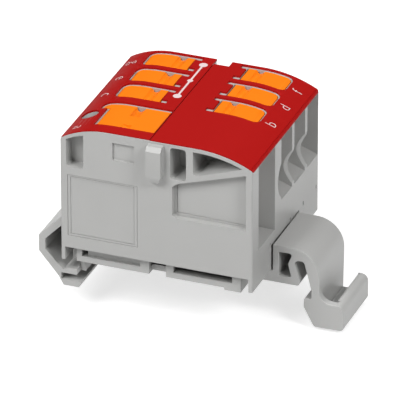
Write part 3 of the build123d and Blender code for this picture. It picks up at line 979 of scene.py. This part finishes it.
@dataclass
class Insides:
    """What the case holds: tray, busbar and springs."""

    names: str = "abcdefg"
    strip: float = 0.35 * MM
    contact: float = 13.2 * MM
    levels: int = 12

    def build(self, tray: bpy.types.Material, tin: bpy.types.Material,
              steel: bpy.types.Material) -> None:
        """Dresses the CAD's tray and busbar, and makes a dressed copy of each spring."""
        dress(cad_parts["contact_tray"], tray)
        dress(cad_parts["busbar"], tin)
        for name in self.names:
            self.build_spring(name, steel)
        log.info("insides: tray, busbar and %d springs", len(self.names))

    def build_spring(self, name: str, steel: bpy.types.Material) -> None:
        """Makes one spring, cut level by level so that its straight leg can follow."""
        low, high = (Vector(corner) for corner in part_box(f"spring_{name}"))
        piece = merged_copy(f"spring_{name}", f"spring_{name}_strip")
        for level in range(1, self.levels):
            height = low.z + (high.z - low.z) * level / self.levels
            in_edit_mode(piece, lambda: bpy.ops.mesh.bisect(plane_co=(0, 0, height),
                                                            plane_no=(0, 0, 1)))
        dress(piece, steel)
        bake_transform(piece)
        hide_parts(f"spring_{name}")


@dataclass(frozen=True)
class Lamp:
    """A soft box that points at the block, with its place in metres."""

    name: str
    place: Place
    size: float
    power: float


@dataclass
class Studio:
    """The floor, the light and the camera."""

    floor_size: float = 2.0
    floor_height: float = -5.95 * MM
    floor_grey: float = 0.6
    floor_roughness: float = 0.9
    floor_specular: float = 0.1
    floor_glow: float = 0.68
    room_light: float = 0.06
    azimuth: float = 20.8465
    elevation: float = 27.997
    distance: float = 953.962
    focal_pixels: float = 6733.82
    image_size: float = 408.0
    target: Place = (2.2294, 13.0, 8.1933)
    sensor: float = 36.0
    clip: tuple[float, float] = (0.05, 10.0)
    lit_middle: Place = (2.0, 13.0, 8.0)
    lamps: tuple[Lamp, ...] = (
        Lamp("key_light", (-0.25, -0.45, 0.55), 0.35, 3.8),
        Lamp("fill_light", (0.5, -0.25, 0.5), 0.2, 2.4),
        Lamp("top_light", (0.0, 0.15, 0.7), 0.5, 1.9),
    )

    def build(self) -> None:
        """Builds all of it."""
        self.build_floor()
        self.build_world()
        self.build_lamps()
        self.build_camera()

    def build_floor(self) -> None:
        """A plain white floor that keeps the block's soft shadow."""
        deselect()
        bpy.ops.mesh.primitive_plane_add(size=self.floor_size,
                                         location=(0, 0, self.floor_height))
        floor = bpy.context.view_layer.objects.active
        floor.name = "floor"
        made = bpy.data.materials.new("white_floor")
        made.use_nodes = True
        nodes, links = made.node_tree.nodes, made.node_tree.links
        shader = nodes["Principled BSDF"]
        shader.inputs["Base Color"].default_value = (*[self.floor_grey] * 3, 1)
        shader.inputs["Roughness"].default_value = self.floor_roughness
        shader.inputs["Specular IOR Level"].default_value = self.floor_specular
        shader.inputs["Emission Color"].default_value = (1, 1, 1, 1)
        path = nodes.new("ShaderNodeLightPath")
        seen = nodes.new("ShaderNodeMath")
        seen.operation = "MAXIMUM"
        links.new(path.outputs["Is Camera Ray"], seen.inputs[0])
        links.new(path.outputs["Is Glossy Ray"], seen.inputs[1])
        glow = nodes.new("ShaderNodeMath")
        glow.operation = "MULTIPLY"
        glow.inputs[1].default_value = self.floor_glow
        links.new(seen.outputs[0], glow.inputs[0])
        links.new(glow.outputs[0], shader.inputs["Emission Strength"])
        dress(floor, made)

    def build_world(self) -> None:
        """White behind the block, and an even grey light all round it."""
        world = bpy.data.worlds.new("studio")
        world.use_nodes = True
        bpy.context.scene.world = world
        nodes, links = world.node_tree.nodes, world.node_tree.links
        background = nodes["Background"]
        background.inputs["Color"].default_value = (1, 1, 1, 1)
        path = nodes.new("ShaderNodeLightPath")
        seen = nodes.new("ShaderNodeMath")
        seen.operation = "MAXIMUM"
        links.new(path.outputs["Is Camera Ray"], seen.inputs[0])
        links.new(path.outputs["Is Transmission Ray"], seen.inputs[1])
        level = nodes.new("ShaderNodeMapRange")
        level.inputs["To Min"].default_value = self.room_light
        level.inputs["To Max"].default_value = 1.0
        links.new(seen.outputs[0], level.inputs["Value"])
        links.new(level.outputs["Result"], background.inputs["Strength"])

    def build_lamps(self) -> None:
        """Soft boxes: a key above the front left, a fill on the right, one overhead."""
        middle = across(*self.lit_middle)
        for lamp in self.lamps:
            light = bpy.data.lights.new(lamp.name, "AREA")
            light.size = lamp.size
            light.energy = lamp.power
            holder = bpy.data.objects.new(lamp.name, light)
            holder.location = lamp.place
            aim = middle - Vector(lamp.place)
            holder.rotation_euler = aim.to_track_quat("-Z", "Y").to_euler()
            bpy.context.scene.collection.objects.link(holder)

    def build_camera(self) -> None:
        """A long lens from the front right, level from side to side."""
        azimuth, elevation = math.radians(self.azimuth), math.radians(self.elevation)
        back = Vector((math.sin(azimuth) * math.cos(elevation),
                       -math.cos(azimuth) * math.cos(elevation),
                       math.sin(elevation)))
        lens = bpy.data.cameras.new("camera")
        lens.sensor_width = self.sensor
        lens.lens = self.focal_pixels * self.sensor / self.image_size
        lens.clip_start, lens.clip_end = self.clip
        camera = bpy.data.objects.new("camera", lens)
        camera.location = across(*self.target) + back * self.distance * MM
        camera.rotation_euler = (-back).to_track_quat("-Z", "Y").to_euler()
        bpy.context.scene.collection.objects.link(camera)
        bpy.context.scene.camera = camera


def main() -> None:
    """Builds the block's looks in order."""
    logging.basicConfig(level=logging.INFO, format="%(name)s: %(message)s")
    bpy.context.scene.view_settings.view_transform = "Standard"
    moulded, rolled = moulded_surface_group(), rolled_metal_group()
    grey = CASE_GREY.material(moulded)
    foot_grey = FOOT_GREY.material(moulded)
    Case().build(grey)
    Covers().build(COVER_RED.material(moulded), PRINT_WHITE.material(moulded))
    Buttons().build(BUTTON_ORANGE.material(moulded))
    Foot().build(foot_grey)
    SprungLatch().build(foot_grey)
    Insides().build(TRAY_GREY.material(moulded), TIN.material(rolled), SPRING.material(rolled))
    Studio().build()


if __name__ == "__main__":
    main()
